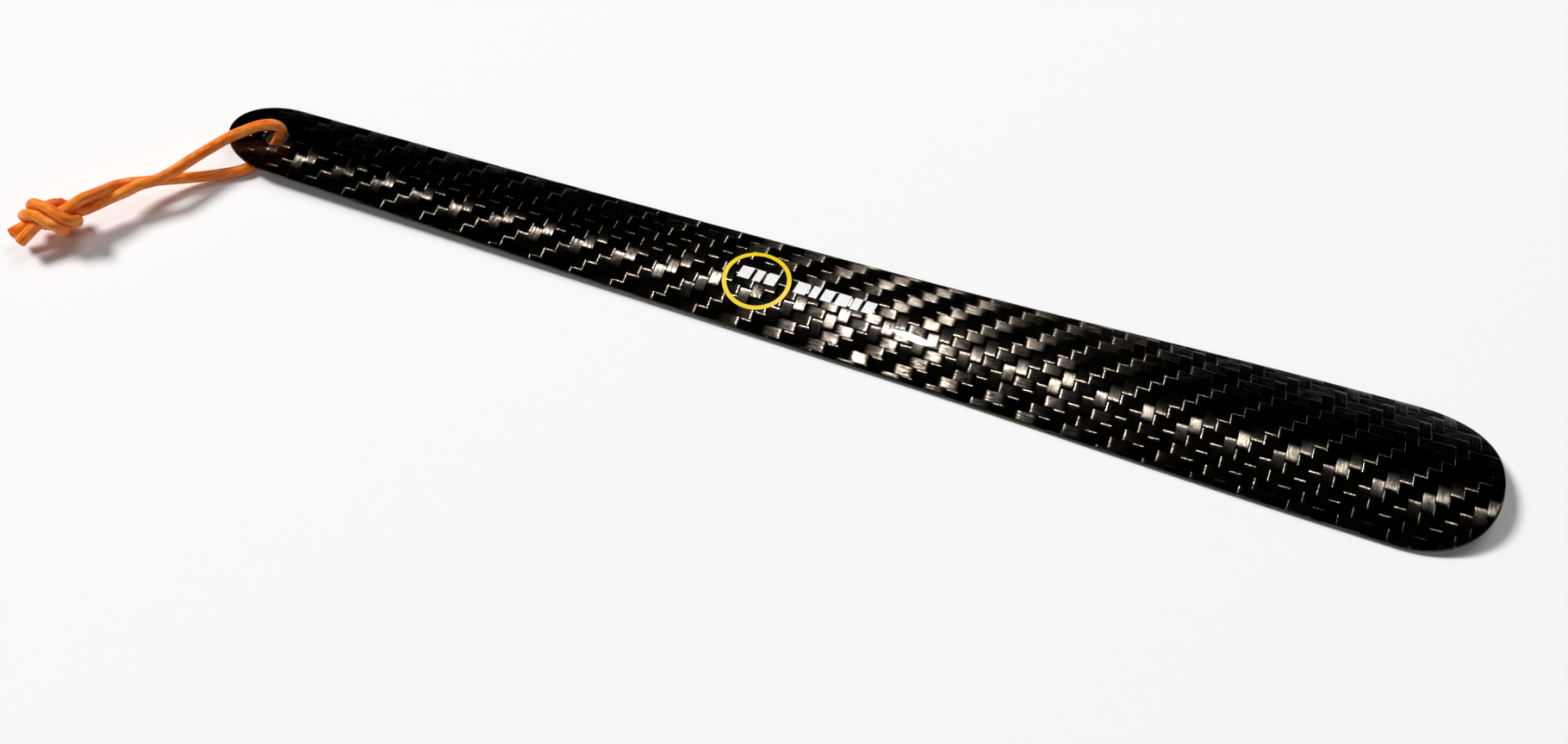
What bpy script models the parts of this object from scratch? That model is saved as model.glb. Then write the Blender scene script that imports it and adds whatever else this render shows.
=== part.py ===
"""Long shoehorn: a thin arched blade of twill carbon-fibre laminate with a hole at the handle end, a printed
mark on its back, and a round leather lanyard knotted through the hole.

Metres, +Z up. The blade lies hollow side down on Z = 0 along X, with the handle at -X and the shoe end at +X.
The origin is below the middle of the blade.
"""

from bisect import bisect_left
from math import cos, pi, sin

import bmesh
import bpy
from mathutils import Euler, Vector

# Blade outline. A half width is measured along the arc from the centre line.
LENGTH = 0.3557
WALL = 0.0016
HANDLE_HALF_WIDTH = 0.01126
TAPER = 0.0274  # half width gained per metre of length
FLARE = 0.0016  # half width gained over the shoe end's flare
FLARE_START = 0.0185
FLARE_END = 0.1385
HANDLE_ROUND = 0.0172  # length of the rounded handle end
TIP_ROUND = 0.0224  # length of the rounded shoe end
TIP_SQUARENESS = 2.24  # exponent of the shoe end's superellipse, where 2 is an ellipse

# Blade cross-section: an arc whose radius goes from the handle's to the shoe end's.
HANDLE_ARCH_RADIUS = 0.0938
TIP_ARCH_RADIUS = 0.0468

# The handle curves up from the blade's resting edges by this height over this length.
HANDLE_LIFT = 0.0041
LIFT_LENGTH = 0.262
REST_DROP = 0.00032  # brings the lowest point of the rounded edges down to Z = 0

# Hole for the lanyard.
HOLE_X = -0.16325
HOLE_RADIUS = 0.00325

# Printed mark: a ring and a row of bars, as thin films on the back of the blade.
FILM = 0.00012
FILM_GAP = 0.0003
RING_X = -0.0176
RING_RADIUS = 0.0088
RING_LINE = 0.0012
BAR_HEIGHT = 0.0039
BAR_SLANT = 0.0006
BAR_MIDDLE = 0.0014  # distance of the bars' middle line from the blade's centre line
INNER_BARS_START = -0.0232
OUTER_BARS_START = -0.0072
BAR_WIDTHS = (0.0034, 0.0022, 0.0030, 0.0034, 0.0022, 0.0030, 0.0034, 0.0022, 0.0030)
INNER_BAR_COUNT = 3
BAR_GAP = 0.0010

# Leather cord. Each point is in millimetres: X and Y from the hole's axis, Z from the floor.
CORD_DIAMETER = 0.0030
CORD_STEP = 0.0021
UPPER_ROUTE = (
    (0.7, 0.2, 5.3), (1.3, 0.7, 6.5), (1.7, 0.9, 7.9), (1.4, 0.8, 9.2), (0.4, 0.4, 10.1),
    (-1.1, -0.3, 10.5), (-3.7, -1.5, 10.2), (-7.0, -3.8, 9.4), (-10.6, -6.9, 8.5), (-13.9, -12.0, 8.1),
    (-16.9, -17.7, 8.0), (-19.2, -22.8, 8.1), (-21.9, -27.2, 8.4), (-25.0, -30.9, 8.3),
    (-28.1, -34.6, 7.6), (-31.5, -38.0, 6.9), (-33.3, -40.2, 6.6),
)
LOWER_ROUTE = (
    (0.5, 0.1, 4.9), (0.0, -0.4, 3.9), (-0.8, -2.0, 2.7), (-2.0, -4.9, 1.8), (-3.3, -7.9, 1.6),
    (-4.8, -10.6, 1.6), (-7.2, -12.8, 1.6), (-10.6, -15.2, 1.9), (-14.4, -17.9, 2.5), (-18.1, -20.5, 3.3),
    (-21.6, -23.2, 4.3), (-24.2, -25.4, 5.2), (-26.7, -27.5, 6.1), (-29.1, -29.9, 7.3),
    (-31.1, -32.6, 8.5), (-32.6, -36.0, 9.6), (-34.2, -38.7, 10.2), (-36.0, -41.3, 10.4),
)
SHORT_TAIL_ROUTE = ((-46.1, -48.8, 6.6), (-47.9, -50.8, 6.1), (-49.6, -52.7, 5.7), (-51.3, -54.6, 5.2))
LONG_TAIL_ROUTE = ((-44.0, -51.2, 8.1), (-45.5, -53.7, 6.9), (-47.1, -56.5, 5.5))

# Overhand knot tied in both strands together, as its outer shape.
KNOT_CENTRE = (-42.6, -47.1, 7.6)
KNOT_SIZE = Vector((0.0170, 0.0088, 0.0100))
KNOT_TURN = Euler((31.9 * pi / 180, 0, 19.5 * pi / 180))
CORD_GAP = 0.0003

MM = 0.001

# How finely each shape is divided.
STATIONS = 40
END_STEPS = 12
RIM_STEPS = 4
RINGS = 5
RING_STEPS = 48
SPAN_STEPS = 24


def clear_scene():
    for obj in list(bpy.data.objects):
        bpy.data.objects.remove(obj)


def principled(name, color, roughness, metallic=0.0, coat=0.0):
    material = bpy.data.materials.new(name)
    material.use_nodes = True
    shader = material.node_tree.nodes["Principled BSDF"]
    shader.inputs["Base Color"].default_value = (*color, 1)
    shader.inputs["Roughness"].default_value = roughness
    shader.inputs["Metallic"].default_value = metallic
    shader.inputs["Coat Weight"].default_value = coat
    return material


def add_object(name, data, material):
    obj = bpy.data.objects.new(name, data)
    bpy.context.scene.collection.objects.link(obj)
    data.materials.append(material)
    return obj


def mesh_from(name, build):
    """A mesh made by build(bm), with its normals out and its round stretches shaded smooth."""
    bm = bmesh.new()
    build(bm)
    bmesh.ops.recalc_face_normals(bm, faces=bm.faces)
    mesh = bpy.data.meshes.new(name)
    bm.to_mesh(mesh)
    bm.free()
    mesh.shade_smooth()
    mesh.set_sharp_from_angle(angle=0.7)
    return mesh


def smooth_step(value):
    value = min(max(value, 0), 1)
    return value * value * (3 - 2 * value)


def half_width(x):
    """Half the arc width at x, without the rounded ends."""
    flare = smooth_step((x - FLARE_START) / (FLARE_END - FLARE_START))
    return HANDLE_HALF_WIDTH + TAPER * (x + LENGTH / 2) + FLARE * flare


def arch_radius(x):
    return HANDLE_ARCH_RADIUS + (TIP_ARCH_RADIUS - HANDLE_ARCH_RADIUS) * (x / LENGTH + 0.5)


def crest_height(x):
    """Height of the back's centre line above the floor."""
    radius = arch_radius(x)
    lift = HANDLE_LIFT * max(0, 1 - (x + LENGTH / 2) / LIFT_LENGTH) ** 2
    return lift + WALL - REST_DROP + radius * (1 - cos(half_width(x) / radius))


def blade_point(x, across, depth):
    """The point at x, across from the centre line along the arc, and depth below the back."""
    radius = arch_radius(x)
    angle = across / radius
    y = (radius - depth) * sin(angle)
    return Vector((x, y, crest_height(x) - radius + (radius - depth) * cos(angle)))


def superellipse(angle, exponent):
    return cos(angle) ** (2 / exponent), sin(angle) ** (2 / exponent)


def half_outline():
    """(x, half width, spine x) from the handle's end to the shoe end's, along one edge."""
    handle_spine = -LENGTH / 2 + HANDLE_ROUND
    tip_spine = LENGTH / 2 - TIP_ROUND
    points = []
    for step in range(END_STEPS):
        along, across = superellipse(pi / 2 * step / END_STEPS, 2)
        points.append((handle_spine - HANDLE_ROUND * along, half_width(handle_spine) * across, handle_spine))
    for step in range(STATIONS + 1):
        x = handle_spine + (tip_spine - handle_spine) * step / STATIONS
        points.append((x, half_width(x), x))
    for step in range(END_STEPS - 1, -1, -1):
        along, across = superellipse(pi / 2 * step / END_STEPS, TIP_SQUARENESS)
        points.append((tip_spine + TIP_ROUND * along, half_width(tip_spine) * across, tip_spine))
    return points


def blade_rings():
    """Closed rings of (x, across, depth) from the middle of the back, round the edge, to the hollow side."""
    half = half_outline()
    outline = half + [(x, -across, spine) for x, across, spine in reversed(half[1:-1])]
    profile = [(step / RINGS, 0) for step in range(1, RINGS)]
    profile += [(1, turn * pi / RIM_STEPS) for turn in range(RIM_STEPS + 1)]
    profile += [(step / RINGS, pi) for step in range(RINGS - 1, 0, -1)]
    rings = []
    for share, turn in profile:
        ring = []
        for x, across, spine in outline:
            outward = Vector((x - spine, across))
            inset = WALL / 2 * (1 - sin(turn)) * outward.normalized()
            out_x, out_across = (outward - inset) * share
            ring.append((spine + out_x, out_across, WALL / 2 * (1 - cos(turn))))
        rings.append(ring)
    return rings


def build_blade(bm):
    rings = [[bm.verts.new(blade_point(*place)) for place in ring] for ring in blade_rings()]
    for ring, following in zip(rings, rings[1:]):
        count = len(ring)
        for index in range(count):
            after = (index + 1) % count
            bm.faces.new((ring[index], ring[after], following[after], following[index]))
    for ring, depth in ((rings[0], 0), (rings[-1], WALL)):
        close_along_spine(bm, ring, depth)


def close_along_spine(bm, ring, depth):
    """Fills the innermost ring with a row of points down the blade's centre line."""
    spine_xs = [spine for _, _, spine in half_outline()]
    spine = {x: bm.verts.new(blade_point(x, 0, depth)) for x in sorted(set(spine_xs))}
    row = [spine[x] for x in spine_xs]
    row += row[-2:0:-1]
    count = len(ring)
    for index in range(count):
        after = (index + 1) % count
        corners = [ring[index], ring[after], row[after]]
        if row[index] is not row[after]:
            corners.append(row[index])
        bm.faces.new(corners)


def hole_cutter():
    def build(bm):
        bmesh.ops.create_cone(
            bm, cap_ends=True, segments=32, radius1=HOLE_RADIUS, radius2=HOLE_RADIUS, depth=0.02
        )

    cutter = bpy.data.objects.new("hole_cutter", mesh_from("hole_cutter", build))
    bpy.context.scene.collection.objects.link(cutter)
    cutter.location = (HOLE_X, 0, crest_height(HOLE_X))
    cutter.hide_render = True
    cutter.display_type = "WIRE"
    return cutter


def add_blade(material):
    blade = add_object("blade", mesh_from("blade", build_blade), material)
    hole = blade.modifiers.new("lanyard_hole", "BOOLEAN")
    hole.object = hole_cutter()
    return blade


def film_prism(bm, outline):
    """A thin film over an outline of (x, across) points, following the back of the blade."""
    sides = []
    for height in (FILM_GAP, FILM_GAP + FILM):
        sides.append([bm.verts.new(blade_point(x, across, -height)) for x, across in outline])
    under, over = sides
    bm.faces.new(under)
    bm.faces.new(over)
    for index in range(len(outline)):
        after = (index + 1) % len(outline)
        bm.faces.new((under[index], under[after], over[after], over[index]))


def build_ring(bm):
    loops = []
    for radius in (RING_RADIUS - RING_LINE / 2, RING_RADIUS + RING_LINE / 2):
        for height in (FILM_GAP, FILM_GAP + FILM):
            loop = []
            for step in range(RING_STEPS):
                angle = 2 * pi * step / RING_STEPS
                place = RING_X + radius * cos(angle), radius * sin(angle), -height
                loop.append(bm.verts.new(blade_point(*place)))
            loops.append(loop)
    inner_under, inner_over, outer_under, outer_over = loops
    section = (inner_under, inner_over, outer_over, outer_under)
    for side, following in zip(section, section[1:] + section[:1]):
        for index in range(RING_STEPS):
            after = (index + 1) % RING_STEPS
            bm.faces.new((side[index], side[after], following[after], following[index]))


def bar_outline(x, width):
    low = BAR_MIDDLE - BAR_HEIGHT / 2
    high = BAR_MIDDLE + BAR_HEIGHT / 2
    return (
        (x, low), (x + width, low), (x + width + BAR_SLANT / 2, BAR_MIDDLE), (x + width + BAR_SLANT, high),
        (x + BAR_SLANT, high), (x + BAR_SLANT / 2, BAR_MIDDLE),
    )


def add_bars(material):
    """The row of bars, each a separate film: a few inside the ring and the rest beyond it."""
    x = INNER_BARS_START
    for index, width in enumerate(BAR_WIDTHS):
        if index == INNER_BAR_COUNT:
            x = OUTER_BARS_START
        outline = bar_outline(x, width)
        mesh = mesh_from(f"printed_bar_{index + 1}", lambda bm: film_prism(bm, outline))
        add_object(mesh.name, mesh, material)
        x += width + BAR_GAP


def from_hole(point):
    x, y, z = point
    return Vector((HOLE_X + x * MM, y * MM, z * MM))


def spline_span(points, index):
    """The four points that shape one span, with mirrored points past the ends."""
    before = points[index - 1] if index else 2 * points[0] - points[1]
    after = points[index + 2] if index + 2 < len(points) else 2 * points[-1] - points[-2]
    return before, points[index], points[index + 1], after


def smooth_route(route):
    """Closely spaced points on the Catmull-Rom curve through the route."""
    points = [from_hole(point) for point in route]
    curve = []
    for index in range(len(points) - 1):
        a, b, c, d = spline_span(points, index)
        for part in range(SPAN_STEPS):
            t = part / SPAN_STEPS
            bend = (2 * a - 5 * b + 4 * c - d) * t**2 + (3 * b - a - 3 * c + d) * t**3
            curve.append(0.5 * (2 * b + (c - a) * t + bend))
    return curve + [points[-1]]


def evenly_spaced(curve, step):
    """Points about step apart along the curve, with both of its ends."""
    lengths = [0]
    for point, following in zip(curve, curve[1:]):
        lengths.append(lengths[-1] + (following - point).length)
    count = max(1, round(lengths[-1] / step))
    places = [lengths[-1] * index / count for index in range(count)]
    return [curve[bisect_left(lengths, place)] for place in places] + [curve[-1]]


def clear_of_knot(point):
    """Whether a cord centred here stays the gap away from the knot's shell."""
    local = (point - from_hole(KNOT_CENTRE)) @ KNOT_TURN.to_matrix()
    margin = CORD_DIAMETER / 2 + CORD_GAP
    return sum((local[axis] / (KNOT_SIZE[axis] / 2 + margin)) ** 2 for axis in range(3)) > 1


def add_cord(name, route, material):
    """A round cord along the part of the route that is outside the knot."""
    outside = [point for point in smooth_route(route) if clear_of_knot(point)]
    points = evenly_spaced(outside, CORD_STEP)
    curve = bpy.data.curves.new(name, "CURVE")
    curve.dimensions = "3D"
    curve.bevel_depth = CORD_DIAMETER / 2
    curve.bevel_resolution = 2
    curve.use_fill_caps = True
    spline = curve.splines.new("POLY")
    spline.points.add(len(points) - 1)
    for target, point in zip(spline.points, points):
        target.co = (*(point - from_hole((0, 0, 0))), 1)
    cord = add_object(name, curve, material)
    cord.location = from_hole((0, 0, 0))
    return cord


def add_knot(material):
    def build(bm):
        bmesh.ops.create_uvsphere(bm, u_segments=28, v_segments=14, radius=0.5)
        bmesh.ops.scale(bm, vec=KNOT_SIZE, verts=bm.verts)

    knot = add_object("cord_knot", mesh_from("cord_knot", build), material)
    knot.location = from_hole(KNOT_CENTRE)
    knot.rotation_euler = KNOT_TURN
    return knot


def add_lanyard(material):
    """The knotted cord, whose parent empty turns about the hole's axis."""
    pivot = bpy.data.objects.new("lanyard_pivot", None)
    bpy.context.scene.collection.objects.link(pivot)
    pivot.location = from_hole((0, 0, 0))
    pieces = [
        add_cord("cord_upper_strand", UPPER_ROUTE, material),
        add_cord("cord_lower_strand", LOWER_ROUTE, material),
        add_cord("cord_short_tail", SHORT_TAIL_ROUTE, material),
        add_cord("cord_long_tail", LONG_TAIL_ROUTE, material),
        add_knot(material),
    ]
    for piece in pieces:
        piece.parent = pivot
        piece.location -= pivot.location


def main():
    clear_scene()
    laminate = principled("carbon_laminate", (0.012, 0.012, 0.013), 0.3, coat=1.0)
    leather = principled("tan_leather", (0.52, 0.19, 0.05), 0.5)
    yellow = principled("yellow_print", (0.85, 0.66, 0.0), 0.35)
    white = principled("white_print", (0.85, 0.85, 0.85), 0.35)
    add_blade(laminate)
    add_object("printed_ring", mesh_from("printed_ring", build_ring), yellow)
    add_bars(white)
    add_lanyard(leather)


main()
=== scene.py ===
"""Looks of the long shoehorn: a clear-lacquered twill carbon-fibre blade with a printed mark and a
knotted leather cord, on a pale floor in soft studio light. Metres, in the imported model's frame.
"""
from math import asin, cos, hypot, pi, radians, sin
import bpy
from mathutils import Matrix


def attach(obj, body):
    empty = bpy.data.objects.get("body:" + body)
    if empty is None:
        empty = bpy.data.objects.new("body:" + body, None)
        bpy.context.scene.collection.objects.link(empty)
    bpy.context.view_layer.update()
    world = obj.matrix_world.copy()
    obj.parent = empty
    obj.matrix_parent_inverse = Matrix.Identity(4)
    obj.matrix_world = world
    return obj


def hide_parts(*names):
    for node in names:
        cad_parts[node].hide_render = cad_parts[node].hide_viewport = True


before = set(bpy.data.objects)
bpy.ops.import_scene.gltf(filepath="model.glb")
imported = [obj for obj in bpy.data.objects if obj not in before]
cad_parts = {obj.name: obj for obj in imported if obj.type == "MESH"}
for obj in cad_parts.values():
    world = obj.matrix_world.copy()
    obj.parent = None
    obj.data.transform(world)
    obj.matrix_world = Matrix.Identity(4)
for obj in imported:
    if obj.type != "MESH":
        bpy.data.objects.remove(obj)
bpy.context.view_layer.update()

from types import SimpleNamespace

import bmesh
import bpy
import numpy as np
from mathutils import Vector

MM = 0.001

# The blade's driving dimensions, as in the CAD. A half width is measured along the arc.
LENGTH = 0.3557
WALL = 0.0016
HANDLE_HALF_WIDTH = 0.01126
TAPER = 0.0274
FLARE = 0.0016
FLARE_START = 0.0185
FLARE_END = 0.1385
HANDLE_ROUND = 0.0172
TIP_ROUND = 0.0224
TIP_SQUARENESS = 2.24
HANDLE_ARCH_RADIUS = 0.0938
TIP_ARCH_RADIUS = 0.0468
HANDLE_LIFT = 0.0041
LIFT_LENGTH = 0.262
REST_DROP = 0.00032
HOLE_X = -0.16325
HOLE_RADIUS = 0.00325
HOLE_EDGE = 0.00035  # the lacquer rounds the edge of the hole
HOLE_SIDES = 64
HOLE_EDGE_STEPS = 6

# How finely the blade is divided.
STATIONS = 180
END_STEPS = 30
RIM_STEPS = 12
RINGS = 14

# The twill: width of a tow, and where the pattern's first tow starts from the origin.
TOW = 0.003048
TWILL_PHASE = (-1.2, 0.0)

# Printed mark: a ring and a row of slanted bars. INK is half the thickness of the film.
INK = 0.00003
RING_X = -0.0176
RING_RADIUS = 0.0088
RING_LINE = 0.0012
RING_STEPS = 128
BAR_STEPS = 6
BAR_HEIGHT = 0.0039
BAR_SLANT = 0.0006
BAR_MIDDLE = 0.0014
INNER_BARS_START = -0.0232
OUTER_BARS_START = -0.0072
BAR_WIDTHS = (0.0034, 0.0022, 0.0030, 0.0034, 0.0022, 0.0030, 0.0034, 0.0022, 0.0030)
INNER_BAR_COUNT = 3
BAR_GAP = 0.0010

# Leather cord. Each point is in millimetres: X and Y from the hole's axis, Z from the floor.
CORD_DIAMETER = 0.0030
CORD_STEP = 0.0005
CORD_SIDES = 20
CORD_FULLNESS = 1.04  # soft leather stands a little proud of its nominal size
CURVE_STEPS = 24
GIRTH_RIPPLE = 0.012
TWISTED_RIPPLES = 260  # radians for each metre
PLAIN_RIPPLES = 410
CUT_BEVEL = 0.00015

# The knot: its turns press together to this share of a diameter, and settle in this many rounds.
KNOT_PRESS = 0.88
KNOT_ROUNDS = 200
KNOT_MOVE = 0.0003
KNOT_LEAD = 16  # points of a strand before the knot that move with it

# The cord's two strands, from the hole to the knot.
UPPER_ROUTE = (
    (0.7, 0.2, 5.3), (1.3, 0.7, 6.5), (1.7, 0.9, 7.9), (1.4, 0.8, 9.2), (0.4, 0.4, 10.1),
    (-1.1, -0.3, 10.5), (-3.7, -1.5, 10.2), (-7.0, -3.8, 9.4), (-10.6, -6.9, 8.5), (-13.9, -12.0, 8.1),
    (-16.9, -17.7, 8.0), (-19.2, -22.8, 8.1), (-21.9, -27.2, 8.4), (-25.3, -30.1, 8.3),
    (-28.4, -33.7, 7.7), (-31.8, -37.0, 7.1), (-33.7, -39.3, 6.8),
)
LOWER_ROUTE = (
    (0.5, 0.1, 4.9), (0.0, -0.4, 3.9), (-0.8, -2.0, 2.7), (-2.0, -4.9, 1.8), (-3.3, -7.9, 1.6),
    (-4.8, -10.6, 1.6), (-7.2, -12.8, 1.6), (-10.6, -15.2, 1.9), (-14.4, -17.9, 2.5), (-18.1, -20.5, 3.3),
    (-21.6, -23.2, 4.3), (-24.2, -25.4, 5.2), (-26.7, -27.5, 6.1), (-29.1, -29.9, 7.3),
    (-31.1, -32.6, 8.5), (-32.6, -36.0, 9.6), (-34.2, -38.7, 10.2), (-36.0, -41.3, 10.4),
)
# Through the overhand knot: in behind the wraps, round the left, over the front, round the right,
# up the back, over the top and out under the wraps.
UPPER_IN_KNOT = (
    (-36.9, -43.2, 6.9), (-39.5, -45.8, 6.5), (-42.5, -47.5, 5.9), (-46.4, -48.2, 5.3),
    (-49.8, -48.7, 5.7), (-49.4, -49.8, 8.0), (-45.9, -50.0, 10.3), (-43.5, -50.0, 10.5),
    (-40.9, -50.4, 9.7),
    (-39.0, -50.4, 9.1), (-37.8, -49.9, 8.0), (-37.7, -48.6, 6.4), (-40.8, -48.0, 4.3), (-44.2, -47.2, 3.5),
    (-45.9, -45.5, 3.9), (-45.3, -44.1, 5.6), (-42.8, -45.3, 7.2), (-42.8, -47.1, 7.5), (-43.4, -49.1, 7.8),
)
LOWER_IN_KNOT = (
    (-38.5, -45.5, 9.3), (-41.6, -46.7, 7.8), (-45.5, -46.7, 6.5), (-48.4, -46.3, 6.7), (-47.9, -47.0, 9.7),
    (-44.8, -47.2, 11.7), (-42.0, -47.3, 11.9), (-39.3, -47.7, 11.2), (-36.8, -48.1, 10.7),
    (-34.8, -47.8, 9.5),
    (-34.7, -46.0, 7.6), (-37.5, -44.7, 5.7), (-40.5, -43.9, 4.9), (-42.1, -43.3, 6.1), (-42.4, -43.8, 8.3),
    (-43.3, -45.5, 8.6), (-44.6, -47.6, 8.0),
)
SHORT_TAIL_ROUTE = ((-46.1, -48.8, 6.6), (-47.9, -50.8, 6.1), (-49.6, -52.7, 5.7), (-51.3, -54.6, 5.2))
LONG_TAIL_ROUTE = ((-44.0, -51.2, 8.1), (-45.5, -53.7, 6.9), (-47.1, -56.5, 5.5))

# Looks of the twill. Slopes are tilts of the normal. A weft tow runs crosswise and a warp tow lengthwise.
FIBRES = 16.0  # for each tow's width
FIBRE_WANDER = 5.0
FIBRE_GRAIN = 1.5
END_CURL = 0.25
SIDE_CURL = 0.45
WEFT_CROWN = -0.020
WARP_CROWN = 0.012
OWN_LEAN = 0.050
UNEVEN_LEAN = 0.05
SIDE_LEAN = 0.12
HANDLE_BOW = 0.055
HANDLE_LEAN = 0.106
SHOE_LEAN = 0.053
TIP_LEAN = 0.045
WARP_TONES = ((0.36, (0.030, 0.026, 0.022)), (0.74, (0.270, 0.228, 0.182)))
WEFT_TONES = ((0.36, (0.028, 0.026, 0.023)), (0.74, (0.300, 0.258, 0.208)))
RESIN = (0.36, 0.31, 0.25, 1)
# Black for the gaps between floats and the cut edge, and also for the painted shade on the back's far half.
GAP_AND_SHADE_BLACK = (0.004, 0.004, 0.004, 1)

# Looks of the leather and the ink.
LEATHER_TONES = (
    (0.32, (0.48, 0.060, 0.002)), (0.44, (0.84, 0.160, 0.010)),
    (0.56, (1.0, 0.300, 0.038)), (0.74, (1.0, 0.520, 0.160)),
)
CUT_TONES = ((0.35, (0.42, 0.15, 0.04)), (0.65, (0.80, 0.44, 0.20)))
INK_YELLOW = (0.93, 0.66, 0.0)
INK_WHITE = (0.88, 0.88, 0.88)

# The studio. The key lamp's glint lies on the back of the blade beside the mark.
FLOOR_REACH = 6
GLINT = Vector((0.0228, -0.0038, 0.004))
KEY_WAY = Vector((-0.108, 0.444, 0.890))
KEY_DISTANCE = 1.3
KEY_SIZE = (0.026, 0.10)

# Camera.
LENS = 34.579
SENSOR = 36
EYE = (0.068014, -0.219488, 0.334771)
EYE_TILT = radians(31.905)
EYE_TURN = radians(19.518)


def new_object(name, data, material=None):
    obj = bpy.data.objects.new(name, data)
    bpy.context.scene.collection.objects.link(obj)
    if material:
        data.materials.append(material)
    return obj


def add_camera():
    data = bpy.data.cameras.new("camera")
    data.sensor_width = SENSOR
    data.lens = LENS
    data.clip_start = 0.01
    camera = new_object("camera", data)
    camera.location = EYE
    camera.rotation_euler = (EYE_TILT, 0, EYE_TURN)
    bpy.context.scene.camera = camera


# ---- materials ----

def principled(name):
    material = bpy.data.materials.new(name)
    material.use_nodes = True
    tree = material.node_tree
    return material, Nodes(tree), tree.nodes["Principled BSDF"]


class Nodes:
    """Short names for the nodes that the materials are made of."""

    # The Mix node's sockets for each kind of value: its two inputs and its output.
    MIX_SOCKETS = {"FLOAT": (2, 3, 0), "VECTOR": (4, 5, 1), "RGBA": (6, 7, 2)}

    def __init__(self, tree):
        self.tree = tree

    def add(self, kind, **settings):
        node = self.tree.nodes.new("ShaderNode" + kind)
        for key, value in settings.items():
            setattr(node, key, value)
        return node

    def feed(self, socket, value):
        if isinstance(value, bpy.types.NodeSocket):
            self.tree.links.new(value, socket)
        else:
            socket.default_value = value

    def feed_in_order(self, node, values):
        for socket, value in zip(node.inputs, values):
            self.feed(socket, value)

    def math(self, operation, *values):
        node = self.add("Math", operation=operation)
        self.feed_in_order(node, values)
        return node.outputs[0]

    def vector(self, operation, *values):
        node = self.add("VectorMath", operation=operation)
        self.feed_in_order(node, values)
        return node.outputs["Vector"]

    def scaled(self, vector, amount):
        node = self.add("VectorMath", operation="SCALE")
        self.feed(node.inputs[0], vector)
        self.feed(node.inputs["Scale"], amount)
        return node.outputs["Vector"]

    def combine(self, x, y, z):
        node = self.add("CombineXYZ")
        self.feed_in_order(node, (x, y, z))
        return node.outputs[0]

    def separate(self, vector):
        node = self.add("SeparateXYZ")
        self.feed(node.inputs[0], vector)
        return node.outputs

    def attribute(self, name):
        return self.add("Attribute", attribute_name=name).outputs["Vector"]

    def noise(self, vector, scale, detail, roughness=0.5):
        node = self.add("TexNoise")
        settings = {"Vector": vector, "Scale": scale, "Detail": detail, "Roughness": roughness}
        for name, value in settings.items():
            self.feed(node.inputs[name], value)
        return node.outputs["Fac"]

    def chance(self, vector):
        """Three random numbers that are the same wherever the vector is the same."""
        node = self.add("TexWhiteNoise", noise_dimensions="3D")
        self.feed(node.inputs["Vector"], vector)
        return self.separate(node.outputs["Color"])

    def step(self, value, low, high, to_low=0.0, to_high=1.0, smooth=True):
        node = self.add("MapRange", interpolation_type="SMOOTHSTEP" if smooth else "LINEAR")
        self.feed_in_order(node, (value, low, high, to_low, to_high))
        return node.outputs[0]

    def mix(self, kind, share, first, second):
        node = self.add("Mix", data_type=kind)
        first_socket, second_socket, output = self.MIX_SOCKETS[kind]
        self.feed(node.inputs["Factor"], share)
        self.feed(node.inputs[first_socket], first)
        self.feed(node.inputs[second_socket], second)
        return node.outputs[output]

    def blend(self, share, first, second):
        return self.mix("RGBA", share, first, second)

    def blend_vector(self, share, first, second):
        return self.mix("VECTOR", share, first, second)

    def choose(self, share, first, second):
        return self.mix("FLOAT", share, first, second)

    def ramp(self, value, *stops):
        node = self.add("ValToRGB")
        self.feed(node.inputs["Fac"], value)
        elements = node.color_ramp.elements
        while len(elements) < len(stops):
            elements.new(0.5)
        for element, (place, color) in zip(elements, stops):
            element.position = place
            element.color = (*color, 1)
        return node.outputs["Color"]

    def bump(self, height, strength, distance):
        node = self.add("Bump")
        node.inputs["Strength"].default_value = strength
        node.inputs["Distance"].default_value = distance
        self.feed(node.inputs["Height"], height)
        return node.outputs["Normal"]


def twill(nodes):
    """Where a point lies in the 2/2 twill: which tow is on top, and the place in its visible float."""
    along, across, depth = nodes.separate(nodes.attribute("weave"))

    # A lengthwise tow lies on top where (column - row) mod 4 is 0 or 1, and a crosswise one elsewhere.
    column = nodes.math("FLOOR", along)
    row = nodes.math("FLOOR", across)
    turn = nodes.math("FLOORED_MODULO", nodes.math("SUBTRACT", column, row), 4.0)
    lengthwise = nodes.math("LESS_THAN", turn, 1.5)

    # A float's own coordinates run from -1 to 1, over its two tows of length and over its width.
    from_start = nodes.math("FLOORED_MODULO", nodes.math("SUBTRACT", along, row), 4.0)
    long_place = nodes.math("SUBTRACT", from_start, 1.0)
    cross_start = nodes.math("FLOORED_MODULO", nodes.math("SUBTRACT", across, column), 4.0)
    cross_place = nodes.math("SUBTRACT", cross_start, 2.0)
    long_side = nodes.math("MULTIPLY_ADD", nodes.math("FRACT", across), 2.0, -1.0)
    cross_side = nodes.math("MULTIPLY_ADD", nodes.math("FRACT", along), 2.0, -1.0)

    # Each float has its own random numbers.
    first_column = nodes.math("SUBTRACT", column, nodes.math("FLOOR", from_start))
    first_row = nodes.math("SUBTRACT", row, nodes.math("FLOOR", nodes.math("SUBTRACT", cross_start, 1.0)))
    cross_key = nodes.combine(column, first_row, 7.0)
    long_key = nodes.combine(first_column, row, 3.0)
    return SimpleNamespace(
        along=along,
        across=across,
        depth=depth,
        lengthwise=lengthwise,
        place=nodes.choose(lengthwise, cross_place, long_place),
        side=nodes.choose(lengthwise, cross_side, long_side),
        chance=nodes.chance(nodes.blend_vector(lengthwise, cross_key, long_key)),
    )


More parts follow.
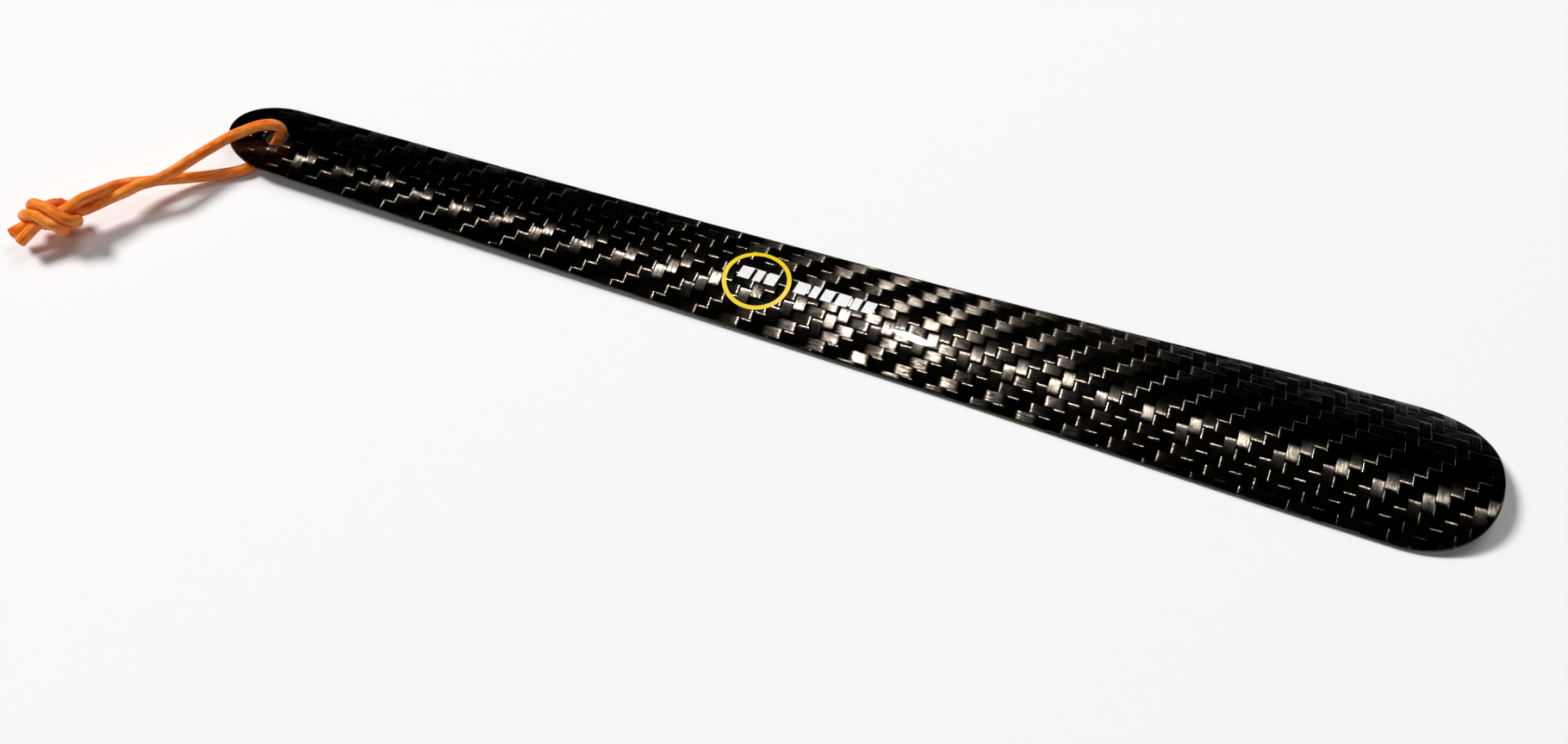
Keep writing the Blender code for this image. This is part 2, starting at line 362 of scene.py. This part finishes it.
def fibre_lines(nodes, weave):
    """Light and dark lines that run along each float and wander a little."""
    line_across = nodes.choose(weave.lengthwise, weave.along, weave.across)
    line_along = nodes.choose(weave.lengthwise, weave.across, weave.along)
    slow = nodes.combine(nodes.math("MULTIPLY", line_along, 0.9), line_across, weave.chance[2])
    wander = nodes.noise(slow, 1.3, 1.0)
    lines = nodes.combine(
        nodes.math("MULTIPLY_ADD", wander, FIBRE_WANDER, nodes.math("MULTIPLY", line_across, FIBRES)),
        nodes.math("MULTIPLY", line_along, 0.8),
        nodes.math("MULTIPLY", weave.chance[0], 40.0),
    )
    return nodes.noise(lines, 1.0, 3.0, 0.6)


def far_lean(nodes, weave):
    """Crosswise tows lean toward the far edge near both ends of the blade, and bow more on the handle."""
    bow = nodes.math("MULTIPLY_ADD", weave.across, HANDLE_BOW, HANDLE_LEAN)
    handle = nodes.math("MULTIPLY", nodes.step(weave.along, -40.0, -6.0, 1.0, 0.0), bow)
    shoe = nodes.step(weave.along, 14.0, 38.0, 0.0, SHOE_LEAN)
    shoe_tip = nodes.step(weave.along, 40.0, 54.0, 0.0, TIP_LEAN)
    return nodes.math("ADD", handle, nodes.math("ADD", shoe, shoe_tip))


def float_slopes(nodes, weave, reach, fibre):
    """Slopes along and across a float: nearly flat in the middle, curling down at its ends and its sides."""
    end_curl = nodes.math("MULTIPLY", nodes.math("POWER", reach, 6.0), END_CURL)
    end_turn = nodes.math("MULTIPLY", nodes.math("SIGN", weave.place), end_curl)
    crown = nodes.choose(weave.lengthwise, WEFT_CROWN, WARP_CROWN)
    end_roll = nodes.math("MULTIPLY_ADD", weave.place, crown, end_turn)
    side_curl = nodes.step(nodes.math("ABSOLUTE", weave.side), 0.76, 1.04, 0.0, SIDE_CURL)
    side_roll = nodes.math("MULTIPLY", nodes.math("SIGN", weave.side), side_curl)

    patches = nodes.noise(nodes.combine(weave.along, weave.across, weave.chance[1]), 1.1, 2.0)
    uneven = nodes.math("SUBTRACT", patches, 0.5)
    own_lean = nodes.math("MULTIPLY", nodes.math("SUBTRACT", weave.chance[0], 0.5), OWN_LEAN)
    lean = nodes.math("MULTIPLY_ADD", uneven, UNEVEN_LEAN, own_lean)
    lean = nodes.math("ADD", lean, nodes.choose(weave.lengthwise, far_lean(nodes, weave), 0.0))
    lean_side = nodes.math("MULTIPLY", nodes.math("SUBTRACT", weave.chance[1], 0.5), SIDE_LEAN)
    grain = nodes.math("MULTIPLY", nodes.math("SUBTRACT", fibre, 0.5), FIBRE_GRAIN)
    slope_along = nodes.math("ADD", end_roll, lean)
    slope_side = nodes.math("ADD", nodes.math("ADD", side_roll, lean_side), grain)
    return slope_along, slope_side


def tow_color(nodes, weave, reach, fibre):
    tone = nodes.math("MULTIPLY_ADD", fibre, 0.9, nodes.math("MULTIPLY", weave.chance[1], 0.25))
    tows = nodes.blend(weave.lengthwise, nodes.ramp(tone, *WEFT_TONES), nodes.ramp(tone, *WARP_TONES))

    # Resin gathers at a float's ends, where it shines more.
    return nodes.blend(nodes.step(reach, 0.70, 0.86, 0.0, 0.55), tows, RESIN)


def darkness(nodes, weave, reach):
    """The share of black: in the gaps between floats, on the cut edge, and painted shade on the back's far
    half near both ends.
    """
    edge = nodes.step(nodes.math("ABSOLUTE", weave.side), 0.86, 1.0)
    gap = nodes.math("MAXIMUM", edge, nodes.step(reach, 0.94, 1.04))

    # The cut edge of the laminate, between the back and the hollow side, is dull resin.
    from_middle = nodes.math("ABSOLUTE", nodes.math("SUBTRACT", weave.depth, 0.5))
    rim = nodes.step(from_middle, 0.36, 0.48, 1.0, 0.0)

    # Painted shade: black painted over the far half of the back near both ends of the blade.
    from_mark = nodes.math("ABSOLUTE", nodes.math("SUBTRACT", weave.along, 7.0))
    painted_far_shade = nodes.math("MULTIPLY", nodes.step(from_mark, 12.0, 30.0), nodes.step(weave.across, -1.8, 0.3))
    dark = nodes.math("MAXIMUM", nodes.math("MULTIPLY", gap, 0.8), nodes.math("MULTIPLY", rim, 0.94))
    return nodes.math("MAXIMUM", dark, nodes.math("MULTIPLY", painted_far_shade, 0.93))


def carbon_material():
    """2/2 twill under clear lacquer. The weave attribute holds a point's place on the blade in tows."""
    material, nodes, shader = principled("carbon_laminate")
    weave = twill(nodes)
    fibre = fibre_lines(nodes, weave)
    reach = nodes.math("ABSOLUTE", weave.place)
    slope_along, slope_side = float_slopes(nodes, weave, reach, fibre)
    slope_x = nodes.choose(weave.lengthwise, slope_side, slope_along)
    slope_y = nodes.choose(weave.lengthwise, slope_along, slope_side)

    normal = nodes.add("NewGeometry").outputs["Normal"]
    lengthways = nodes.combine(1.0, 0.0, 0.0)
    crossways = nodes.vector("NORMALIZE", nodes.vector("CROSS_PRODUCT", normal, lengthways))
    tilted = nodes.vector("ADD", normal, nodes.scaled(lengthways, slope_x))
    tilted = nodes.vector("ADD", tilted, nodes.scaled(crossways, slope_y))

    # The shader's tangent lies across the fibres, so that their shine spreads across them.
    tangent = nodes.blend_vector(weave.lengthwise, lengthways, crossways)

    tows = tow_color(nodes, weave, reach, fibre)
    # Black in the gaps and on the cut edge, and painted shade on the far half near both ends.
    color = nodes.blend(darkness(nodes, weave, reach), tows, GAP_AND_SHADE_BLACK)
    nodes.feed(shader.inputs["Base Color"], color)
    nodes.feed(shader.inputs["Normal"], nodes.vector("NORMALIZE", tilted))
    nodes.feed(shader.inputs["Tangent"], tangent)
    shader.inputs["Metallic"].default_value = 1.0
    shader.inputs["Roughness"].default_value = 0.24
    shader.inputs["Anisotropic"].default_value = 1.0
    shader.inputs["Coat Weight"].default_value = 0.30
    shader.inputs["Coat Roughness"].default_value = 0.035
    shader.inputs["Coat IOR"].default_value = 1.5
    return material


def leather_material():
    """Round vegetable-tanned cord: fine grain along it, mottled tan, and paler cut ends."""
    material, nodes, shader = principled("tan_leather")
    grain_place = nodes.attribute("grain")
    around_x, around_y, along = nodes.separate(grain_place)
    stretched = nodes.combine(around_x, around_y, nodes.math("MULTIPLY", along, 0.16))
    long_grain = nodes.noise(stretched, 2200.0, 4.0, 0.6)
    patch_place = nodes.combine(around_x, around_y, nodes.math("MULTIPLY", along, 0.4))
    patch = nodes.noise(patch_place, 420.0, 3.0, 0.55)
    pore = nodes.noise(grain_place, 3600.0, 2.0, 0.6)
    tone = nodes.math("MULTIPLY_ADD", long_grain, 0.5, nodes.math("MULTIPLY", patch, 0.5))
    is_cut = nodes.separate(nodes.attribute("cut"))[0]
    color = nodes.blend(is_cut, nodes.ramp(tone, *LEATHER_TONES), nodes.ramp(pore, *CUT_TONES))
    height = nodes.math("MULTIPLY_ADD", long_grain, 0.6, nodes.math("MULTIPLY", pore, 0.4))
    nodes.feed(shader.inputs["Base Color"], color)
    nodes.feed(shader.inputs["Roughness"], nodes.step(long_grain, 0.3, 0.7, 0.36, 0.54, smooth=False))
    nodes.feed(shader.inputs["Normal"], nodes.bump(height, 0.5, 0.00012))
    shader.inputs["Specular IOR Level"].default_value = 0.45
    return material


def print_material(name, color):
    """Screen ink under the lacquer: even colour with a faint mottle."""
    material, nodes, shader = principled(name)
    place = nodes.add("TexCoord").outputs["Object"]
    mottle = nodes.noise(place, 900.0, 3.0)
    dark = tuple(channel * 0.88 for channel in color)
    nodes.feed(shader.inputs["Base Color"], nodes.ramp(mottle, (0.3, dark), (0.7, color)))
    nodes.feed(shader.inputs["Normal"], nodes.bump(nodes.noise(place, 2500.0, 2.0), 0.1, 0.00003))
    shader.inputs["Roughness"].default_value = 0.32
    shader.inputs["Coat Weight"].default_value = 1.0
    shader.inputs["Coat Roughness"].default_value = 0.05
    return material


def floor_material():
    material, _, shader = principled("paper_floor")
    shader.inputs["Base Color"].default_value = (0.87, 0.87, 0.87, 1)
    shader.inputs["Roughness"].default_value = 0.9
    shader.inputs["Specular IOR Level"].default_value = 0.0
    return material


# ---- blade ----

def smooth_step(value):
    value = min(max(value, 0), 1)
    return value * value * (3 - 2 * value)


def half_width(x):
    flare = smooth_step((x - FLARE_START) / (FLARE_END - FLARE_START))
    return HANDLE_HALF_WIDTH + TAPER * (x + LENGTH / 2) + FLARE * flare


def arch_radius(x):
    return HANDLE_ARCH_RADIUS + (TIP_ARCH_RADIUS - HANDLE_ARCH_RADIUS) * (x / LENGTH + 0.5)


def crest_height(x):
    radius = arch_radius(x)
    lift = HANDLE_LIFT * max(0, 1 - (x + LENGTH / 2) / LIFT_LENGTH) ** 2
    return lift + WALL - REST_DROP + radius * (1 - cos(half_width(x) / radius))


def blade_point(x, across, depth):
    """The point at x, across from the centre line along the arc, and depth below the back."""
    radius = arch_radius(x)
    angle = across / radius
    y = (radius - depth) * sin(angle)
    return Vector((x, y, crest_height(x) - radius + (radius - depth) * cos(angle)))


def superellipse(angle, exponent):
    return cos(angle) ** (2 / exponent), sin(angle) ** (2 / exponent)


def half_outline():
    """(x, half width, spine x) from the handle's end to the shoe end's, along one edge."""
    handle_spine = -LENGTH / 2 + HANDLE_ROUND
    tip_spine = LENGTH / 2 - TIP_ROUND
    points = []
    for step in range(END_STEPS):
        along, across = superellipse(pi / 2 * step / END_STEPS, 2)
        x = handle_spine - HANDLE_ROUND * along
        points.append((x, half_width(handle_spine) * across, handle_spine))
    for step in range(STATIONS + 1):
        x = handle_spine + (tip_spine - handle_spine) * step / STATIONS
        points.append((x, half_width(x), x))
    for step in range(END_STEPS - 1, -1, -1):
        along, across = superellipse(pi / 2 * step / END_STEPS, TIP_SQUARENESS)
        x = tip_spine + TIP_ROUND * along
        points.append((x, half_width(tip_spine) * across, tip_spine))
    return points


def blade_rings():
    """Closed rings of (x, across, depth) from the middle of the back, round the edge, to the hollow."""
    half = half_outline()
    outline = half + [(x, -across, spine) for x, across, spine in reversed(half[1:-1])]
    profile = [(step / RINGS, 0) for step in range(1, RINGS)]
    profile += [(1, turn * pi / RIM_STEPS) for turn in range(RIM_STEPS + 1)]
    profile += [(step / RINGS, pi) for step in range(RINGS - 1, 0, -1)]
    rings = []
    for share, turn in profile:
        ring = []
        for x, across, spine in outline:
            outward = Vector((x - spine, across))
            inset = WALL / 2 * (1 - sin(turn)) * outward.normalized()
            out_x, out_across = (outward - inset) * share
            ring.append((spine + out_x, out_across, WALL / 2 * (1 - cos(turn))))
        rings.append(ring)
    return rings


def join_rings(bm, rings):
    """Faces between closed rings of points that are all divided alike."""
    for ring, following in zip(rings, rings[1:]):
        count = len(ring)
        for index in range(count):
            after = (index + 1) % count
            bm.faces.new((ring[index], ring[after], following[after], following[index]))


def build_blade(bm):
    rings = [[bm.verts.new(blade_point(*place)) for place in ring] for ring in blade_rings()]
    join_rings(bm, rings)
    for ring, depth in ((rings[0], 0), (rings[-1], WALL)):
        close_along_spine(bm, ring, depth)


def close_along_spine(bm, ring, depth):
    """Fills the innermost ring with a row of points down the blade's centre line."""
    spine_xs = [spine for _, _, spine in half_outline()]
    spine = {x: bm.verts.new(blade_point(x, 0, depth)) for x in sorted(set(spine_xs))}
    row = [spine[x] for x in spine_xs]
    row += row[-2:0:-1]
    count = len(ring)
    for index in range(count):
        after = (index + 1) % count
        corners = [ring[index], ring[after], row[after]]
        if row[index] is not row[after]:
            corners.append(row[index])
        bm.faces.new(corners)


def mesh_from(name, build, smooth=True):
    bm = bmesh.new()
    build(bm)
    bmesh.ops.recalc_face_normals(bm, faces=bm.faces)
    mesh = bpy.data.meshes.new(name)
    bm.to_mesh(mesh)
    bm.free()
    if smooth:
        mesh.shade_smooth()
    return mesh


def store_vectors(mesh, name, vectors):
    """Keeps one vector for each point of the mesh, for the materials to read."""
    attribute = mesh.attributes.new(name, "FLOAT_VECTOR", "POINT")
    attribute.data.foreach_set("vector", np.array(vectors).ravel())


def hole_cutter():
    """A plug for the hole that widens at both faces of the blade, to round the hole's edges."""
    top = crest_height(HOLE_X)
    profile = [(HOLE_RADIUS + 6 * HOLE_EDGE, 6 * HOLE_EDGE)]
    for step in range(HOLE_EDGE_STEPS + 1):
        turn = pi / 2 * step / HOLE_EDGE_STEPS
        profile.append((HOLE_RADIUS + HOLE_EDGE * (1 - sin(turn)), HOLE_EDGE * (cos(turn) - 1)))
    profile += [(radius, -WALL - height) for radius, height in reversed(profile)]

    def build(bm):
        loops = []
        for radius, height in profile:
            loop = []
            for step in range(HOLE_SIDES):
                angle = 2 * pi * step / HOLE_SIDES
                x = HOLE_X + radius * cos(angle)
                loop.append(bm.verts.new((x, radius * sin(angle), top + height)))
            loops.append(loop)
        join_rings(bm, loops)
        bm.faces.new(loops[0])
        bm.faces.new(loops[-1])

    return new_object("hole_cutter", mesh_from("hole_cutter", build))


def mark_weave(mesh):
    """Stores each point's place along and across the arc in tows, and its depth as a share of the wall."""
    places = []
    for vertex in mesh.vertices:
        x, y, z = vertex.co
        radius = arch_radius(x)
        across = radius * asin(max(-1, min(1, y / radius)))
        depth = radius - hypot(y, z - crest_height(x) + radius)
        places.append((x / TOW + TWILL_PHASE[0], across / TOW + TWILL_PHASE[1], depth / WALL))
    store_vectors(mesh, "weave", places)


def add_blade(material):
    blade = new_object("carbon_blade", mesh_from("carbon_blade", build_blade), material)
    cutter = hole_cutter()
    cut = blade.modifiers.new("lanyard_hole", "BOOLEAN")
    cut.object = cutter
    depsgraph = bpy.context.evaluated_depsgraph_get()
    shape = bpy.data.meshes.new_from_object(blade.evaluated_get(depsgraph))
    blade.modifiers.clear()
    blade.data = shape
    bpy.data.objects.remove(cutter)
    shape.shade_smooth()
    mark_weave(shape)
    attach(blade, "shoehorn")
    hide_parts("blade")


# ---- printed mark ----

def ink_over(bm, rows, closed):
    """A closed film over a grid of (x, across) points, following the back of the blade."""
    top = [[bm.verts.new(blade_point(x, across, -INK)) for x, across in row] for row in rows]
    under = [[bm.verts.new(blade_point(x, across, INK)) for x, across in row] for row in rows]
    count = len(rows[0])
    spans = [(index, (index + 1) % count) for index in range(count if closed else count - 1)]
    for sheet in (top, under):
        for row, following in zip(sheet, sheet[1:]):
            for index, after in spans:
                bm.faces.new((row[index], row[after], following[after], following[index]))
    for over, below in ((top[0], under[0]), (top[-1], under[-1])):
        for index, after in spans:
            bm.faces.new((over[index], over[after], below[after], below[index]))
    if closed:
        return
    for place in (0, -1):
        for row, following, below, below_next in zip(top, top[1:], under, under[1:]):
            bm.faces.new((row[place], following[place], below_next[place], below[place]))


def build_ring(bm):
    rows = []
    for part in (-0.5, 0, 0.5):
        radius = RING_RADIUS + part * RING_LINE
        angles = [2 * pi * step / RING_STEPS for step in range(RING_STEPS)]
        rows.append([(RING_X + radius * cos(angle), radius * sin(angle)) for angle in angles])
    ink_over(bm, rows, True)


def build_bar(bm, x, width):
    rows = []
    for step in range(BAR_STEPS + 1):
        share = step / BAR_STEPS
        across = BAR_MIDDLE + BAR_HEIGHT * (share - 0.5)
        left = x + BAR_SLANT * share
        rows.append([(left, across), (left + width, across)])
    ink_over(bm, rows, False)


def add_mark(yellow, white):
    """The ring, and the row of bars: a few inside the ring and the rest beyond it."""
    ring = new_object("mark_ring", mesh_from("mark_ring", build_ring, smooth=False), yellow)
    pieces = [(ring, "printed_ring", "yellow_print")]
    x = INNER_BARS_START
    for index, width in enumerate(BAR_WIDTHS):
        if index == INNER_BAR_COUNT:
            x = OUTER_BARS_START
        name = f"mark_bar_{index + 1}"
        mesh = mesh_from(name, lambda bm: build_bar(bm, x, width), smooth=False)
        pieces.append((new_object(name, mesh, white), f"printed_bar_{index + 1}", "white_print"))
        x += width + BAR_GAP
    for piece, node, slot in pieces:
        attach(piece, "shoehorn")
        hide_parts(node)


# ---- leather cord ----

def from_hole(point):
    x, y, z = point
    return np.array((HOLE_X + x * MM, y * MM, z * MM))


def smooth_route(route):
    """Closely spaced points on the Catmull-Rom curve through the route."""
    points = [from_hole(point) for point in route]
    points = [2 * points[0] - points[1], *points, 2 * points[-1] - points[-2]]
    curve = []
    for a, b, c, d in zip(points, points[1:], points[2:], points[3:]):
        for t in np.linspace(0, 1, CURVE_STEPS, endpoint=False):
            bend = (2 * a - 5 * b + 4 * c - d) * t**2 + (3 * b - a - 3 * c + d) * t**3
            curve.append(0.5 * (2 * b + (c - a) * t + bend))
    return np.array(curve + [points[-2]])


def evenly_spaced(curve, step):
    lengths = np.concatenate([[0], np.cumsum(np.linalg.norm(np.diff(curve, axis=0), axis=1))])
    places = np.linspace(0, lengths[-1], max(2, round(lengths[-1] / step) + 1))
    return np.stack([np.interp(places, lengths, curve[:, axis]) for axis in range(3)], axis=1)


def length_of(curve):
    return float(np.linalg.norm(np.diff(curve, axis=0), axis=1).sum())


def freedom(size, start):
    """How freely each of a strand's points may move: not at all before the knot or at the cut end."""
    order = np.arange(size)
    return np.clip((order - start) / 12, 0, 1) * np.clip((size - 3 - order) / 8, 0, 1)


def settle(strands, loose_from):
    """Moves the strands' knotted stretches apart until their turns only press together, and smooths them."""
    count = [len(strand) for strand in strands]
    points = np.concatenate(strands)
    home = points.copy()
    owner = np.repeat(np.arange(len(strands)), count)
    order = np.concatenate([np.arange(size) for size in count])
    free = np.concatenate([freedom(size, start) for size, start in zip(count, loose_from)])
    apart = round(1.7 * CORD_DIAMETER / CORD_STEP)
    near_self = (owner[:, None] == owner[None, :]) & (abs(order[:, None] - order[None, :]) < apart)
    inner = (order > 0) & (order < np.array(count)[owner] - 1)
    for _ in range(KNOT_ROUNDS):
        gap = points[:, None] - points[None, :]
        far = np.linalg.norm(gap, axis=2)
        push = np.clip(CORD_DIAMETER * KNOT_PRESS - far, 0, None)
        push[near_self] = 0
        shove = (gap / np.maximum(far, 1e-6)[:, :, None] * push[:, :, None]).sum(axis=1)
        hits = np.maximum((push > 0).sum(axis=1), 1)[:, None]
        neighbours = np.roll(points, 1, axis=0) + np.roll(points, -1, axis=0)
        smooth = np.zeros_like(points)
        smooth[inner] = neighbours[inner] / 2 - points[inner]
        move = 0.9 * shove / np.sqrt(hits)
        move += 0.5 * smooth + 0.12 * (home - points)
        points = points + np.clip(move, -KNOT_MOVE, KNOT_MOVE) * free[:, None]
    return [points[owner == index] for index in range(len(strands))]


def frames_along(curve):
    """A direction across the cord at each point, turned as little as possible from one to the next."""
    tangents = np.gradient(curve, axis=0)
    tangents /= np.linalg.norm(tangents, axis=1)[:, None]
    side = np.cross(tangents[0], (0, 0, 1.0))
    if np.linalg.norm(side) < 0.1:
        side = np.cross(tangents[0], (1.0, 0, 0))
    sides = []
    for tangent in tangents:
        side = side - tangent * side.dot(tangent)
        side /= np.linalg.norm(side)
        sides.append(side)
    sides = np.array(sides)
    return tangents, sides, np.cross(tangents, sides)


def girth(angle, length, first_grain):
    """The leather's slightly uneven girth round the cord and along it, as a share of its even girth."""
    twisted = sin(3 * angle + TWISTED_RIPPLES * length)
    plain = sin(PLAIN_RIPPLES * length + first_grain * 900)
    return 1 + GIRTH_RIPPLE * twisted + GIRTH_RIPPLE * plain


def tube_rings(last):
    """(point of the curve, share of the girth, distance past the point, cut) for each ring of a tube."""
    rings = [(index, 1, 0, False) for index in range(last)]
    for turn in (0, 30, 60, 85):
        bevel = radians(turn)
        rings.append((last, 1 - 0.10 * (1 - cos(bevel)), CUT_BEVEL * sin(bevel), turn > 40))
    for scale in (0.66, 0.33):
        rings.append((last, scale, CUT_BEVEL + 0.00008 * sin(scale * 9), True))
    return rings


def tube(name, curve, first_grain, material):
    """A leather tube along the curve, with a bevelled cut at its far end."""
    tangents, sides, ups = frames_along(curve)
    lengths = np.concatenate([[0], np.cumsum(np.linalg.norm(np.diff(curve, axis=0), axis=1))])
    radius = CORD_DIAMETER / 2 * CORD_FULLNESS
    grain, cut = [], []

    def build(bm):
        rings = []
        for index, scale, out, is_cut in tube_rings(len(curve) - 1):
            ring = []
            for step in range(CORD_SIDES):
                angle = 2 * pi * step / CORD_SIDES
                reach = radius * scale * girth(angle, lengths[index], first_grain)
                outward = cos(angle) * sides[index] + sin(angle) * ups[index]
                ring.append(bm.verts.new(curve[index] + tangents[index] * out + reach * outward))
                along = first_grain + lengths[index] + out
                grain.append((reach * cos(angle), reach * sin(angle), along))
                cut.append((float(is_cut), 0.0, 0.0))
            rings.append(ring)
        join_rings(bm, rings)
        bm.faces.new(rings[0])
        bm.faces.new(rings[-1])

    mesh = mesh_from(name, build)
    store_vectors(mesh, "grain", grain)
    store_vectors(mesh, "cut", cut)
    return new_object(name, mesh, material)


def add_cords(material):
    routes = (
        (UPPER_ROUTE, UPPER_IN_KNOT, LONG_TAIL_ROUTE),
        (LOWER_ROUTE, LOWER_IN_KNOT, SHORT_TAIL_ROUTE),
    )
    strands = [evenly_spaced(smooth_route(sum(parts, ())), CORD_STEP) for parts in routes]
    knot_starts = [round(length_of(smooth_route(parts[0])) / CORD_STEP) for parts in routes]
    pieces = (
        ("leather_upper_strand", ("cord_upper_strand", "cord_long_tail")),
        ("leather_lower_strand", ("cord_lower_strand", "cord_short_tail", "cord_knot")),
    )
    loose_from = [start - KNOT_LEAD for start in knot_starts]
    for index, curve in enumerate(settle(strands, loose_from)):
        name, nodes = pieces[index]
        piece = tube(name, curve, 0.1 * index, material)
        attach(piece, "lanyard")
        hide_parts(*nodes)


# ---- studio ----

def add_floor():
    def build(bm):
        bmesh.ops.create_grid(bm, x_segments=1, y_segments=1, size=FLOOR_REACH)

    floor = new_object("floor", mesh_from("floor", build), floor_material())


def area_light(name, place, aim, size, power):
    """A lamp that lights surfaces without showing in them: only the key lamp shows."""
    data = bpy.data.lights.new(name, "AREA")
    data.shape = "DISK"
    data.size = size
    data.energy = power
    light = new_object(name, data)
    light.location = place
    light.rotation_euler = (Vector(place) - Vector(aim)).to_track_quat("Z", "Y").to_euler()
    light.visible_glossy = False
    return light


def add_key():
    """The small lamp whose shine shows in the fibres and the lacquer."""
    key = area_light("key", GLINT + KEY_DISTANCE * KEY_WAY, GLINT, KEY_SIZE[0], 3.4)
    key.data.shape = "ELLIPSE"
    key.data.size_y = KEY_SIZE[1]
    key.visible_glossy = True
    key.visible_diffuse = False


def add_world():
    """A pale backdrop that only the camera sees."""
    world = bpy.data.worlds.new("studio")
    world.use_nodes = True
    world.node_tree.nodes["Background"].inputs["Color"].default_value = (1, 1, 1, 1)
    world.node_tree.nodes["Background"].inputs["Strength"].default_value = 0.9
    world.cycles_visibility.diffuse = False
    world.cycles_visibility.glossy = False
    bpy.context.scene.world = world
    bpy.context.scene.view_settings.view_transform = "Standard"


add_camera()
add_cords(leather_material())
add_blade(carbon_material())
add_mark(print_material("yellow_print", INK_YELLOW), print_material("white_print", INK_WHITE))
add_floor()
add_world()
add_key()
area_light("left_window", (-5.55, 1.05, 5.85), (0, 0, 0), 2.4, 720.0)
area_light("back_softbox", (0.25, 0.9, 1.6), (0, 0, 0), 1.1, 8.6)
area_light("front_fill", (0.1, -1.1, 1.5), (0, 0, 0), 1.0, 4.6)
